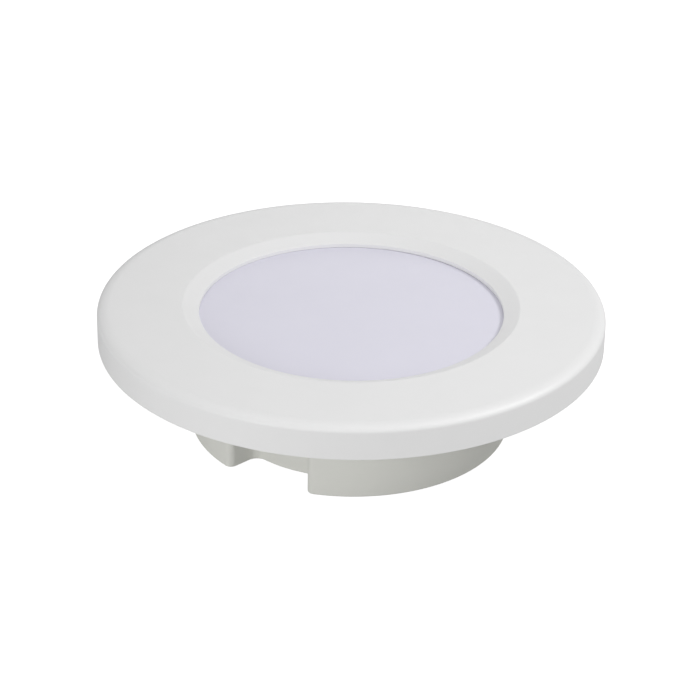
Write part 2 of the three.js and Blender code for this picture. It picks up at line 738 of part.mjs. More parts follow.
// Two-way terminal block: a screw well over each wire entry.
function terminalBlockGeometry({ size, wayOffset }) {
  const [, width, height] = size;
  const well = { radius: 2, floor: 4 };
  const entry = { halfWidth: 1.7, low: 1.2, high: 4.6 };
  const wells = [-wayOffset, wayOffset].flatMap((x) => [
    cylinder(well.radius, well.floor, height + 1, x, 0),
    block(x - entry.halfWidth, x + entry.halfWidth, -width / 2 - 1, 1, entry.low, entry.high),
  ]);
  return combine([standing(size)], wells);
}

function terminalScrewGeometry() {
  const slot = block(-2, 2, -0.3, 0.3, 2.4, 4);
  return combine([cylinder(1.7, 0, 3)], [slot]);
}

function component(name, geometry, finish, { x, y }) {
  return place(piece(name, geometry, finish), x, y, DRIVER_TOP_Z + GAP);
}

function terminalScrews() {
  const { x, y, wayOffset, screwRise } = TERMINAL_BLOCK;
  const geometry = terminalScrewGeometry();
  return [-wayOffset, wayOffset].map((offset, i) => {
    const screw = component(`terminal_screw_${i + 1}`, geometry, "stainless", { x: x + offset, y });
    return screw.translateZ(screwRise);
  });
}

function driver() {
  const fitted = [
    ["terminal_block", terminalBlockGeometry, "component_green", TERMINAL_BLOCK],
    ["bridge_rectifier", boxGeometry, "component_black", RECTIFIER],
    ["input_capacitor", capacitorGeometry, "component_black", INPUT_CAPACITOR],
    ["output_capacitor", capacitorGeometry, "component_black", OUTPUT_CAPACITOR],
    ["inductor", inductorGeometry, "component_black", INDUCTOR],
    ["controller_chip", chipGeometry, "component_black", CHIP],
    ["switching_transistor", transistorGeometry, "component_black", TRANSISTOR],
    ["driver_connector", boxGeometry, "connector_white", DRIVER_CONNECTOR],
  ];
  return group(
    driverBoard(),
    driverScrews(),
    terminalScrews(),
    fitted.map(([name, make, finish, spec]) => component(name, make(spec), finish, spec)),
  );
}

// ---- Cable gland ----

// Every gland part is turned about the group's X axis, which points out of the bay.
function glandRing(inner, outer, from, to) {
  return flatRing(inner, outer, from, to, ROUND_COMPONENT).rotateY(Math.PI / 2);
}

function glandHex(from, to) {
  return prism(hexagon(GLAND_HEX_ACROSS_FLATS), from, to).rotateY(Math.PI / 2);
}

function glandRod(radius, from, to) {
  return cylinder(radius, from, to, 0, 0, ROUND_COMPONENT).rotateY(Math.PI / 2);
}

function glandBody() {
  const hexFrom = GLAND_PAD_OUTER + O_RING.thickness + 2 * GAP;
  const hexTo = hexFrom + GLAND_HEX_THICKNESS;
  const barrel = glandRod(GLAND_BARREL_RADIUS, GLAND_BARREL_END, hexFrom + 1);
  const spigot = glandRod(GLAND_SPIGOT_RADIUS, hexTo - 1, GLAND_SPIGOT_END);
  const cableBore = glandRod(CABLE_BORE_RADIUS, GLAND_BARREL_END - 1, GLAND_SPIGOT_END + 1);
  const sealSeat = glandRod(SEAL_SEAT_RADIUS, SEAL.from - GAP, GLAND_SPIGOT_END + 1);
  return combine([barrel, glandHex(hexFrom, hexTo), spigot], [cableBore, sealSeat]);
}

function glandLocknut() {
  const bore = glandRod(GLAND_HOLE_RADIUS, LOCKNUT_END - 1, GLAND_PAD_INNER);
  return combine([glandHex(LOCKNUT_END, GLAND_PAD_INNER - GAP)], [bore]);
}

// Cap nut with a domed end round the cable bore.
function glandCapNut() {
  const { from, hexEnd, end, domeRadius, endRadius } = CAP_NUT;
  const dome = revolve([
    [0, hexEnd - 1],
    [domeRadius, hexEnd - 1],
    [domeRadius, hexEnd + GAP],
    [endRadius, end],
    [0, end],
  ], ROUND_COMPONENT).rotateY(Math.PI / 2);
  const thread = glandRod(CAP_NUT_THREAD_RADIUS, from - 1, hexEnd);
  const cableBore = glandRod(CABLE_BORE_RADIUS, from - 1, end + 1);
  return combine([glandHex(from, hexEnd), dome], [thread, cableBore]);
}

function cableGland() {
  const oRingFrom = GLAND_PAD_OUTER + GAP;
  const oRing = glandRing(O_RING.inner, O_RING.outer, oRingFrom, oRingFrom + O_RING.thickness);
  const seal = glandRing(SEAL.inner, SEAL.outer, SEAL.from, SEAL.to);
  const parts = group(
    piece("gland_body", glandBody(), "gland_grey"),
    piece("gland_o_ring", oRing, "black_rubber"),
    piece("gland_locknut", glandLocknut(), "gland_grey"),
    piece("gland_seal", seal, "black_rubber"),
    piece("gland_cap_nut", glandCapNut(), "gland_grey"),
  );
  return place(parts, 0, 0, GLAND_Z, BAY_CENTRE_DEG);
}

// ---- Whole light ----

const poolLight = group(
  trimRing(),
  lens(),
  lensClampRing(),
  clampScrews(),
  lensGasket(),
  rearCan(),
  mountingFlange(),
  lightEngine(),
  driver(),
  cableGland(),
);

export default poolLight;
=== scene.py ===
"""Looks of the underwater pool light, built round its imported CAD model.

Lengths are millimetres, which new_mesh() turns into Blender's metres. Only the camera's and the lights' are
given in metres.
+Z points out of the lens, and the origin is the centre of the can's rear face.
"""

import math

import bmesh
import bpy
from mathutils import Matrix, Vector


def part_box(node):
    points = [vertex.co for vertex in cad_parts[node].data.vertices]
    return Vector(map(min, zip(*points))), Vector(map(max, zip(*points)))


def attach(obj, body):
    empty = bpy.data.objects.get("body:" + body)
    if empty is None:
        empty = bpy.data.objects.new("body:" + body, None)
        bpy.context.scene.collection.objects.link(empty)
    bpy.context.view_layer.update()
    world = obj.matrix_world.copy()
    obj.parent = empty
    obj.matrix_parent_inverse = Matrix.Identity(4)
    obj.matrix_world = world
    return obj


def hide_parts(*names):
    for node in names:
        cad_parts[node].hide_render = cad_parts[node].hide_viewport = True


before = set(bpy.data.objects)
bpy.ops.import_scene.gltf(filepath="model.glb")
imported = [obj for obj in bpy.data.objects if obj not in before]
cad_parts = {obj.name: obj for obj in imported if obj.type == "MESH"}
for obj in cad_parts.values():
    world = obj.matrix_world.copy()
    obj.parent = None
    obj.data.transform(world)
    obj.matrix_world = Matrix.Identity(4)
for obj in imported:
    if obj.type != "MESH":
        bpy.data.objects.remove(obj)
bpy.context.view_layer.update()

MM = 0.001
FINE = 256
ROUND = 96
SMALL_ROUND = 48
SMOOTH_ANGLE = math.radians(32)
MERGE_DISTANCE = 1e-7


def node_box(name):
    low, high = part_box(name)
    return low / MM, high / MM


def node_centre(name):
    low, high = node_box(name)
    return (low + high) / 2


def node_foot(name):
    """Middle of the node's lowest face."""
    low, high = node_box(name)
    return Vector(((low.x + high.x) / 2, (low.y + high.y) / 2, low.z))


# ---- Sizes, from the frame where its boxes give them ----

TRIM_LOW, TRIM_HIGH = node_box("trim_ring")
CAN_HIGH = node_box("rear_can")[1]
FLANGE_HIGH = node_box("mounting_flange")[1]

TOP_Z = TRIM_HIGH.z
FACE_RADIUS = TRIM_HIGH.x
RIM_REAR_Z = TRIM_LOW.z
CAN_RADIUS = CAN_HIGH.x
CAN_TOP_Z = CAN_HIGH.z
FLANGE_RADIUS = FLANGE_HIGH.x
LENS_TOP_Z = node_box("lens_diffuser")[1].z

WALL = 2.5
GAP = 0.3

# Trim ring
RIM_EDGE_WIDTH = 6.5
RIM_EDGE_DROP = 3.6
BEVEL_OUTER_RADIUS = 83
BEVEL_DROP = 3.4
BEVEL_THICKNESS = 1.6
LIP_RADIUS = 75.1
LIP_THICKNESS = 2
LIP_GAP = 0.12

# Bayonet
BAYONET_ANGLES = [math.radians(45 + 90 * i) for i in range(4)]
HOOK_HALF_WIDTH = math.radians(5)
HOOK_INNER_RADIUS = 102.5
HOOK_STEM_RADIUS = 106.5
HOOK_TOE_RADIUS = 111.5
HOOK_LOW_Z = 54.6
HOOK_TOE_TOP_Z = 57.2
CLAW_TIP_RADIUS = 107
CLAW_POST_RADIUS = 112
CLAW_OUTER_RADIUS = 115
CLAW_LOW_Z = 57.6
CLAW_OPEN_END = math.radians(6)
CLAW_CLOSED_END = math.radians(7.2)
CLAW_STOP_FACE = math.radians(5.2)

# Rear can and its cable bay
CAN_FOOT_ROUNDING = 0.6
CAN_TOP_CHAMFER = 0.3
BAY_CENTRE = math.radians(-120.5)
BAY_HALF_WIDTH = math.radians(31.5 / 2)
BAY_INNER_RADIUS = 61.8
BAY_MOUTH_ROUNDING = 3.5
BAY_CORNER_FILLET = 5.5
BAY_ROOF_Z = 38

# Mounting flange and the lens's seat
FLANGE_FRONT_Z = 53
SEAL_LAND_WIDTH = 6
COLLAR_RADIUS = 84
HUB_RADIUS = 98.5
HUB_REAR_Z = 48.3
RIB_COUNT = 24
SEAT_Z = 52
SEAT_WALL_INNER_RADIUS = 89
SEAT_WALL_OUTER_RADIUS = 97
SEAT_WALL_TOP_Z = 56.1
FIXING_CIRCLE_RADIUS = 108
FIXING_HOLE_RADIUS = 2.75
FIXING_BOSS_RADIUS = 6.5
LENS_STEP_RADIUS = 80
LENS_STEP_HEIGHT = 2.4
SEAL_INNER_RADIUS = 80.5
SEAL_OUTER_RADIUS = 87.5

# Screws
M4_HEAD_HEIGHT = 1.4
M3_HEAD_HEIGHT = 1.6
CLAMP_SCREW_CIRCLE = 93
M4_HOLE_RADIUS = 2.3
CLAMP_SCREW_ANGLES = [math.radians(60 * i) for i in range(6)]
BOARD_SCREW_CIRCLE = 70
BOARD_SCREW_ANGLES = [math.radians(60 + 120 * i) for i in range(3)]
DRIVER_SCREW_INSET = 4
M3_HOLE_RADIUS = 1.8

LED_COUNT = 12

# Leads, and the contacts of the connectors that they join
LEAD_OFFSET = 1.8
LEAD_RADIUS = 0.9

# Cable gland
HEX_ACROSS_FLATS = 17
GLAND_PITCH = 1.5
GLAND_HOLE_RADIUS = 6.3
CABLE_BORE_RADIUS = 3.8


# ---- Outlines ----


def polar(radius, angle):
    return Vector((radius * math.cos(angle), radius * math.sin(angle)))


def arc(centre, radius, start, end, steps):
    """Points of an arc, both ends included."""
    centre = Vector(centre)
    return [centre + polar(radius, start + (end - start) * i / steps) for i in range(steps + 1)]


def rounded(corners, steps=8, hold=0.2):
    """Outline through (x, y, fillet radius) corners.

    A point just outside each fillet keeps the flats beside it flat.
    """
    points = []
    for i, (x, y, radius) in enumerate(corners):
        corner = Vector((x, y))
        if radius == 0:
            points.append(corner)
            continue
        before = (Vector(corners[i - 1][:2]) - corner).normalized()
        after = (Vector(corners[(i + 1) % len(corners)][:2]) - corner).normalized()
        half = before.angle(after) / 2
        reach = radius / math.tan(half)
        centre = corner + (before + after).normalized() * (radius / math.sin(half))
        first = corner + before * reach - centre
        last = corner + after * reach - centre
        start = math.atan2(first.y, first.x)
        turn = math.remainder(math.atan2(last.y, last.x) - start, 2 * math.pi)
        points.append(corner + before * (reach + hold))
        points += arc(centre, radius, start, start + turn, steps)
        points.append(corner + after * (reach + hold))
    return points


# ---- Meshes ----


def new_mesh(name, bm):
    """An object of the bmesh, scaled to metres, with its faces turned outwards."""
    bmesh.ops.recalc_face_normals(bm, faces=bm.faces)
    bmesh.ops.scale(bm, vec=(MM, MM, MM), verts=bm.verts)
    mesh = bpy.data.meshes.new(name)
    bm.to_mesh(mesh)
    bm.free()
    made = bpy.data.objects.new(name, mesh)
    bpy.context.scene.collection.objects.link(made)
    return made


def bridge(bm, lower, upper):
    """Quads between two closed rows of the same number of vertices."""
    for i in range(len(lower)):
        j = (i + 1) % len(lower)
        bm.faces.new((lower[i], lower[j], upper[j], upper[i]))


def lathe(name, profile, segments=ROUND, ring=False):
    """Profile of (radius, z) points turned round Z: a closed ring section, or a solid with flat ends."""
    bm = bmesh.new()
    rows = []
    for radius, z in profile:
        turns = [2 * math.pi * i / segments for i in range(segments)]
        rows.append([bm.verts.new((*polar(radius, turn), z)) for turn in turns])
    for lower, upper in zip(rows, rows[1:]):
        bridge(bm, lower, upper)
    if ring:
        bridge(bm, rows[-1], rows[0])
    else:
        bm.faces.new(rows[0])
        bm.faces.new(rows[-1])
    return new_mesh(name, bm)


def spun(name, corners, segments, steps, hold=0.2):
    """Solid turned from (radius, z, fillet radius) corners.

    The first and the last corner are on the axis. They only steer the outline, because lathe() closes it.
    """
    return lathe(name, rounded(corners, steps, hold)[1:-1], segments)


def spun_ring(name, corners, segments, steps, hold=0.2):
    """Ring turned from (radius, z, fillet radius) corners."""
    return lathe(name, rounded(corners, steps, hold), segments, ring=True)


def sector(name, profile, start, end, steps=12):
    """Closed profile of (radius, z) points swept over part of a turn."""
    bm = bmesh.new()
    rows = []
    for i in range(steps + 1):
        turn = start + (end - start) * i / steps
        rows.append([bm.verts.new((*polar(radius, turn), z)) for radius, z in profile])
    for lower, upper in zip(rows, rows[1:]):
        bridge(bm, lower, upper)
    bm.faces.new(rows[0])
    bm.faces.new(rows[-1])
    return new_mesh(name, bm)


def prism(name, outline, z0, z1):
    bm = bmesh.new()
    lower = [bm.verts.new((x, y, z0)) for x, y in outline]
    upper = [bm.verts.new((x, y, z1)) for x, y in outline]
    bridge(bm, lower, upper)
    bm.faces.new(lower)
    bm.faces.new(upper)
    return new_mesh(name, bm)


def rod(name, radius, z0, z1, x=0, y=0, segments=SMALL_ROUND):
    return prism(name, arc((x, y), radius, 0, 2 * math.pi, segments)[:-1], z0, z1)


def block(name, low, high, edge=0.2):
    """A box with rounded edges."""
    bm = bmesh.new()
    bmesh.ops.create_cube(bm, size=1)
    size = Vector(high) - Vector(low)
    centre = (Vector(high) + Vector(low)) / 2
    placed = Matrix.Translation(centre) @ Matrix.Diagonal((*size, 1))
    bmesh.ops.transform(bm, matrix=placed, verts=bm.verts)
    if edge:
        bmesh.ops.bevel(bm, geom=bm.edges, offset=edge, segments=3, profile=0.5, affect="EDGES")
    return new_mesh(name, bm)


def hexagon(across_flats):
    return arc((0, 0), across_flats / math.sqrt(3), 0, 2 * math.pi, 6)[:-1]


def thread(name, radius, depth, pitch, z0, z1, segments=SMALL_ROUND):
    """A rod with a helical thread that runs out at both ends."""
    bm = bmesh.new()
    rows = []
    count = max(4, round((z1 - z0) / pitch * 8))
    for k in range(count + 1):
        z = z0 + (z1 - z0) * k / count
        fade = min(1, (z - z0) / pitch, (z1 - z) / pitch)
        row = []
        for i in range(segments):
            phase = (z / pitch - i / segments) % 1
            crest = 1 - abs(2 * phase - 1)
            reach = radius - depth + depth * crest * fade
            row.append(bm.verts.new((*polar(reach, 2 * math.pi * i / segments), z)))
        rows.append(row)
    for lower, upper in zip(rows, rows[1:]):
        bridge(bm, lower, upper)
    bm.faces.new(rows[0])
    bm.faces.new(rows[-1])
    return new_mesh(name, bm)


def apply_modifiers(obj):
    """The object's mesh becomes what its modifiers make of it."""
    graph = bpy.context.evaluated_depsgraph_get()
    made = bpy.data.meshes.new_from_object(obj.evaluated_get(graph))
    obj.modifiers.clear()
    obj.data = made


def combine(obj, others, operation):
    """One boolean after another with the others, which are used up."""
    for other in others:
        bpy.context.view_layer.update()
        step = obj.modifiers.new("boolean", "BOOLEAN")
        step.operation = operation
        step.solver = "MANIFOLD"
        step.object = other
        apply_modifiers(obj)
        bpy.data.objects.remove(other)
    return obj


def union(obj, others):
    return combine(obj, others, "UNION")


def cut(obj, others):
    return combine(obj, others, "DIFFERENCE")


def moved(obj, matrix):
    obj.data.transform(matrix)
    return obj


def turned(obj, angle):
    return moved(obj, Matrix.Rotation(angle, 4, "Z"))


def clean(obj):
    """Merges doubled points, drops loose ones and sets which edges stay sharp."""
    bm = bmesh.new()
    bm.from_mesh(obj.data)
    bmesh.ops.remove_doubles(bm, verts=bm.verts, dist=MERGE_DISTANCE)
    bmesh.ops.dissolve_degenerate(bm, dist=MERGE_DISTANCE, edges=bm.edges)
    loose = [v for v in bm.verts if not v.link_faces]
    bmesh.ops.delete(bm, geom=loose, context="VERTS")
    bm.to_mesh(obj.data)
    bm.free()
    obj.data.shade_smooth()
    obj.data.set_sharp_from_angle(angle=SMOOTH_ANGLE)


def piece(obj, body, nodes, material):
    """Cleans a finished mesh, gives it its material and its body, and hides the CAD nodes that it stands
    for.
    """
    clean(obj)
    obj.data.materials.clear()
    obj.data.materials.append(material)
    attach(obj, body)
    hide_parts(*nodes)
    return obj


def copy_at(obj, name, location, angle=0):
    """The same mesh again, at a place in millimetres and turned about Z."""
    made = bpy.data.objects.new(name, obj.data)
    bpy.context.scene.collection.objects.link(made)
    made.location = Vector(location) * MM
    made.rotation_euler.z = angle
    return made


# ---- Materials ----


class Paint:
    """A Principled material with noise fields in the object's own coordinates."""

    def __init__(self, name, metallic=0):
        self.material = bpy.data.materials.new(name)
        self.material.use_nodes = True
        self.tree = self.material.node_tree
        self.shader = self.tree.nodes["Principled BSDF"]
        self.shader.inputs["Metallic"].default_value = metallic
        self.coordinates = self.tree.nodes.new("ShaderNodeTexCoord").outputs["Object"]

    def link(self, source, target):
        self.tree.links.new(source, target)

    def stretched(self, x, y, z):
        node = self.tree.nodes.new("ShaderNodeMapping")
        node.inputs["Scale"].default_value = (x, y, z)
        self.link(self.coordinates, node.inputs["Vector"])
        return node.outputs["Vector"]

    def noise(self, size, detail=3, source=None):
        """Noise with blobs of about that size in millimetres."""
        node = self.tree.nodes.new("ShaderNodeTexNoise")
        node.inputs["Scale"].default_value = 1 / (size * MM)
        node.inputs["Detail"].default_value = detail
        self.link(source or self.coordinates, node.inputs["Vector"])
        return node.outputs["Fac"]

    def cells(self, size):
        node = self.tree.nodes.new("ShaderNodeTexVoronoi")
        node.inputs["Scale"].default_value = 1 / (size * MM)
        self.link(self.coordinates, node.inputs["Vector"])
        return node.outputs["Distance"]

    def level(self, field, low, high, at=(0.3, 0.7)):
        """The field's span, which is the usual one of a noise, brought to low and high."""
        node = self.tree.nodes.new("ShaderNodeMapRange")
        node.inputs["From Min"].default_value = at[0]
        node.inputs["From Max"].default_value = at[1]
        node.inputs["To Min"].default_value = low
        node.inputs["To Max"].default_value = high
        self.link(field, node.inputs["Value"])
        return node.outputs["Result"]

    def colour(self, field, first, second, at=(0.3, 0.7)):
        node = self.tree.nodes.new("ShaderNodeMix")
        node.data_type = "RGBA"
        colours = [s for s in node.inputs if s.type == "RGBA"]
        colours[0].default_value = (*first, 1)
        colours[1].default_value = (*second, 1)
        self.link(self.level(field, 0, 1, at), node.inputs["Factor"])
        mixed = next(s for s in node.outputs if s.type == "RGBA")
        self.link(mixed, self.shader.inputs["Base Color"])

    def roughness(self, field, low, high):
        self.link(self.level(field, low, high), self.shader.inputs["Roughness"])

    def bump(self, field, depth):
        """Relief of that depth in millimetres."""
        node = self.tree.nodes.new("ShaderNodeBump")
        node.inputs["Distance"].default_value = depth * MM
        node.inputs["Strength"].default_value = 1
        self.link(field, node.inputs["Height"])
        self.link(node.outputs["Normal"], self.shader.inputs["Normal"])


def shade(colour, factor):
    return tuple(c * factor for c in colour)


def moulded(name, colour, roughness, grain=0.5, depth=0.004, mottle=0.02):
    """Injection-moulded plastic: an even tone with slight flow mottling and a fine grain."""
    paint = Paint(name)
    paint.colour(paint.noise(22, 4), shade(colour, 1 - mottle), shade(colour, 1 + mottle))
    paint.roughness(paint.noise(6, 3), roughness * 0.92, roughness * 1.08)
    paint.bump(paint.noise(grain, 2), depth)
    return paint.material


def metal(name, colour, roughness, along=(1, 1, 1)):
    """Bare metal, with streaks along the axis whose factor is small."""
    paint = Paint(name, metallic=1)
    streaks = paint.noise(0.25, 2, paint.stretched(*along))
    paint.colour(streaks, shade(colour, 0.9), shade(colour, 1.06))
    paint.roughness(streaks, roughness * 0.8, roughness * 1.25)
    paint.bump(streaks, 0.004)
    return paint.material


def soft(name, colour, roughness):
    """Rubber or silicone: matt, with a dusty bloom."""
    paint = Paint(name)
    paint.colour(paint.noise(4, 5), shade(colour, 0.85), shade(colour, 1.15))
    paint.roughness(paint.noise(1.5, 3), roughness * 0.88, roughness)
    paint.bump(paint.noise(0.3, 3), 0.01)
    return paint.material


def circuit(name, mask, copper, roughness):
    """Solder mask over copper: the tracks show as a slightly lighter, raised pattern."""
    paint = Paint(name)
    tracks = paint.cells(6)
    paint.colour(tracks, copper, mask, at=(0.36, 0.4))
    paint.roughness(paint.noise(2, 2), roughness * 0.9, roughness * 1.1)
    paint.bump(paint.level(tracks, 1, 0, (0.34, 0.42)), 0.03)
    return paint.material


TRIM_WHITE = moulded("trim_white", (0.80, 0.80, 0.80), 0.45, depth=0.002, mottle=0.006)
LENS_OPAL = moulded("lens_opal", (0.719, 0.708, 0.80), 0.42, grain=0.8, depth=0.003, mottle=0.006)
CAN_GREY = moulded("can_grey", (0.757, 0.76, 0.718), 0.55, grain=0.4, depth=0.006, mottle=0.012)
CLAMP_WHITE = moulded("clamp_white", (0.78, 0.78, 0.76), 0.45)
GLAND_GREY = moulded("gland_grey", (0.45, 0.46, 0.45), 0.42)
CONNECTOR_WHITE = moulded("connector_white", (0.76, 0.74, 0.66), 0.45)
TERMINAL_GREEN = moulded("terminal_green", (0.045, 0.21, 0.08), 0.4)
COMPONENT_BLACK = moulded("component_black", (0.018, 0.018, 0.02), 0.42, mottle=0.15)
CAPACITOR_SLEEVE = moulded("capacitor_sleeve", (0.02, 0.022, 0.03), 0.28, mottle=0.15)
FERRITE = moulded("ferrite", (0.05, 0.05, 0.052), 0.6, depth=0.02, mottle=0.2)
LEAD_RED = moulded("lead_red", (0.43, 0.025, 0.018), 0.4)
LEAD_BLACK = moulded("lead_black", (0.02, 0.02, 0.02), 0.4, mottle=0.15)
REFLECTOR_WHITE = moulded("reflector_white", (0.86, 0.86, 0.85), 0.3)
LED_HOUSING = moulded("led_housing", (0.82, 0.82, 0.79), 0.4)
PHOSPHOR = moulded("phosphor", (0.85, 0.60, 0.05), 0.35, depth=0.01, mottle=0.05)
SILICONE = soft("silicone", (0.52, 0.54, 0.52), 0.6)
BLACK_RUBBER = soft("black_rubber", (0.014, 0.014, 0.014), 0.7)
THERMAL_PAD = soft("thermal_pad", (0.26, 0.29, 0.31), 0.85)
STAINLESS = metal("stainless", (0.60, 0.60, 0.59), 0.3)
ALUMINIUM = metal("aluminium", (0.66, 0.67, 0.68), 0.36, along=(1, 0.03, 1))
COPPER_WIRE = metal("copper_wire", (0.72, 0.32, 0.16), 0.3)
BOARD_WHITE = circuit("board_white", (0.80, 0.80, 0.77), (0.70, 0.69, 0.64), 0.35)
BOARD_GREEN = circuit("board_green", (0.012, 0.10, 0.04), (0.03, 0.19, 0.07), 0.35)


# ---- Trim ring ----


def rim_edge(width, drop, steps):
    """Quarter of an ellipse from the rim to the face, as corners with no fillet."""
    across, up = FACE_RADIUS - RIM_EDGE_WIDTH, TOP_Z - RIM_EDGE_DROP
    quarter = arc((0, 0), 1, 0, math.pi / 2, steps)
    return [(across + width * x, up + drop * y, 0) for x, y in quarter]


def trim_ring():
    bevel_z = TOP_Z - BEVEL_DROP
    lip_z = LENS_TOP_Z + LIP_GAP
    lip_back = LIP_RADIUS + LIP_THICKNESS
    ring = spun_ring("trim_ring_fine", [
        (FACE_RADIUS, RIM_REAR_Z, 0.35),
        (FACE_RADIUS, TOP_Z - RIM_EDGE_DROP - 0.2, 0),
        *rim_edge(RIM_EDGE_WIDTH, RIM_EDGE_DROP, 16),
        (FACE_RADIUS - RIM_EDGE_WIDTH - 0.2, TOP_Z, 0),
        (BEVEL_OUTER_RADIUS, TOP_Z, 3.0),
        (LIP_RADIUS, bevel_z, 0.3),
        (LIP_RADIUS, lip_z, 0.1),
        (lip_back, lip_z, 0.1),
        (lip_back, bevel_z - BEVEL_THICKNESS, 0),
        (BEVEL_OUTER_RADIUS + 0.9, TOP_Z - WALL, 1.5),
        *reversed(rim_edge(RIM_EDGE_WIDTH - WALL, RIM_EDGE_DROP - WALL, 10)),
        (FACE_RADIUS - WALL, RIM_REAR_Z, 0.35),
    ], FINE, steps=12)
    root = TOP_Z - WALL + GAP
    hook = rounded([
        (HOOK_INNER_RADIUS, HOOK_LOW_Z, 0.3),
        (HOOK_TOE_RADIUS, HOOK_LOW_Z, 0.3),
        (HOOK_TOE_RADIUS, HOOK_TOE_TOP_Z, 0.3),
        (HOOK_STEM_RADIUS, HOOK_TOE_TOP_Z, 0.4),
        (HOOK_STEM_RADIUS, root, 0),
        (HOOK_INNER_RADIUS, root, 0),
    ], steps=3, hold=0.05)
    half = HOOK_HALF_WIDTH
    hooks = [sector("hook", hook, angle - half, angle + half) for angle in BAYONET_ANGLES]
    piece(union(ring, hooks), "trim", ["trim_ring"], TRIM_WHITE)


# ---- Lens ----


def clamp_screw_holes(z0, z1):
    places = [polar(CLAMP_SCREW_CIRCLE, angle) for angle in CLAMP_SCREW_ANGLES]
    return [rod("hole", M4_HOLE_RADIUS, z0, z1, x, y) for x, y in places]


def lens():
    low, high = node_box("lens_diffuser")
    flange_top = LENS_TOP_Z - LENS_STEP_HEIGHT
    inner = LENS_STEP_RADIUS - WALL
    made = spun("lens_fine", [
        (0, LENS_TOP_Z - WALL, 0),
        (inner, LENS_TOP_Z - WALL, 0.3),
        (inner, low.z, 0.2),
        (high.x, low.z, 0.25),
        (high.x, flange_top, 0.25),
        (LENS_STEP_RADIUS, flange_top, 0.2),
        (LENS_STEP_RADIUS, LENS_TOP_Z, 0.4),
        (0, LENS_TOP_Z, 0),
    ], FINE, steps=5)
    piece(made, "light_body", ["lens_diffuser"], LENS_OPAL)


def clamp_ring():
    low, high = node_box("lens_clamp_ring")
    ring = spun_ring("lens_clamp_ring_fine", [
        (SEAL_INNER_RADIUS, low.z, 0.2),
        (high.x, low.z, 0.3),
        (high.x, high.z, 0.5),
        (SEAL_INNER_RADIUS, high.z, 0.4),
    ], FINE, steps=4)
    made = cut(ring, clamp_screw_holes(50, 65))
    piece(made, "light_body", ["lens_clamp_ring"], CLAMP_WHITE)


def lens_gasket():
    low, high = node_box("lens_gasket")
    ring = spun_ring("lens_gasket_fine", [
        (SEAL_INNER_RADIUS, low.z, 0.4),
        (SEAL_OUTER_RADIUS, low.z, 0.4),
        (SEAL_OUTER_RADIUS, high.z, 0.4),
        (SEAL_INNER_RADIUS, high.z, 0.4),
    ], FINE, steps=5)
    piece(ring, "light_body", ["lens_gasket"], SILICONE)


# ---- Screws ----


def screw(head_radius, head_height, shank_radius, shank_length, socket, pitch):
    """A socket screw whose head stands on z = 0."""
    head = spun("screw", [
        (0, 0, 0),
        (head_radius, 0, 0.15),
        (head_radius, head_height, 0.45),
        (0, head_height, 0),
    ], SMALL_ROUND, steps=5, hold=0.03)
    shank = thread("shank", shank_radius, 0.12 * pitch + 0.15, pitch, -shank_length, 0.2)
    recess = prism("recess", hexagon(socket), head_height * 0.4, head_height + 1)
    return cut(union(head, [shank]), [recess])


def screws(name, made, head_height, angles):
    """A copy of the screw for each numbered node, turned by its angle."""
    for number, angle in enumerate(angles, 1):
        node = f"{name}_{number}"
        centre = node_centre(node)
        place = (centre.x, centre.y, node_box(node)[1].z - head_height)
        copy = copy_at(made, f"{node}_fine", place, angle)
        piece(copy, "light_body", [node], STAINLESS)
    bpy.data.objects.remove(made)


def m4_screw(length):
    return screw(3.6, M4_HEAD_HEIGHT, 2, length, socket=2.5, pitch=0.7)


def m3_screw(length):
    return screw(2.8, M3_HEAD_HEIGHT, 1.5, length, socket=2, pitch=0.5)


def all_screws():
    screws("clamp_screw", m4_screw(9.5), M4_HEAD_HEIGHT, CLAMP_SCREW_ANGLES)
    screws("board_screw", m3_screw(13), M3_HEAD_HEIGHT, BOARD_SCREW_ANGLES)
    screws("driver_screw", m3_screw(5.5), M3_HEAD_HEIGHT, [0.3, 0.8, 0.1, 0.6])


# ---- Rear can ----

OUTER_STEPS = 230
BRIDGE_STEPS = 26
ARC_STEPS = 10
INNER_WALL_STEPS = 14

# The bay's walls lie along radii of the can. X is how far along its wall the centre of the mouth's rounding
# or of the corner's fillet stands, and the angle is how far that centre is turned away from the wall.
BAY_MOUTH_X = math.sqrt((CAN_RADIUS - BAY_MOUTH_ROUNDING) ** 2 - BAY_MOUTH_ROUNDING**2)
BAY_MOUTH_ANGLE = math.atan2(BAY_MOUTH_ROUNDING, BAY_MOUTH_X)
BAY_CORNER_REACH = BAY_INNER_RADIUS + BAY_CORNER_FILLET
BAY_CORNER_X = math.sqrt(BAY_CORNER_REACH**2 - BAY_CORNER_FILLET**2)
BAY_CORNER_ANGLE = math.asin(BAY_CORNER_FILLET / BAY_CORNER_REACH)


def bay_outline(inset):
    """The bay's walls from one side of its mouth to the other, inset into the can's material."""
    mouth = (BAY_MOUTH_X, BAY_MOUTH_ROUNDING)
    corner = (BAY_CORNER_X, -BAY_CORNER_FILLET)
    quarter = math.pi / 2
    side = arc(mouth, BAY_MOUTH_ROUNDING - inset, BAY_MOUTH_ANGLE, -quarter, ARC_STEPS)
    side += arc(corner, BAY_CORNER_FILLET + inset, quarter, math.pi - BAY_CORNER_ANGLE, ARC_STEPS)
    turned_side = [Matrix.Rotation(BAY_HALF_WIDTH, 2) @ point for point in side]
    half = BAY_HALF_WIDTH - BAY_CORNER_ANGLE
    inner = arc((0, 0), BAY_INNER_RADIUS - inset, half, -half, INNER_WALL_STEPS)[1:-1]
    mirrored = [Vector((point.x, -point.y)) for point in reversed(turned_side)]
    return turned_side + inner + mirrored


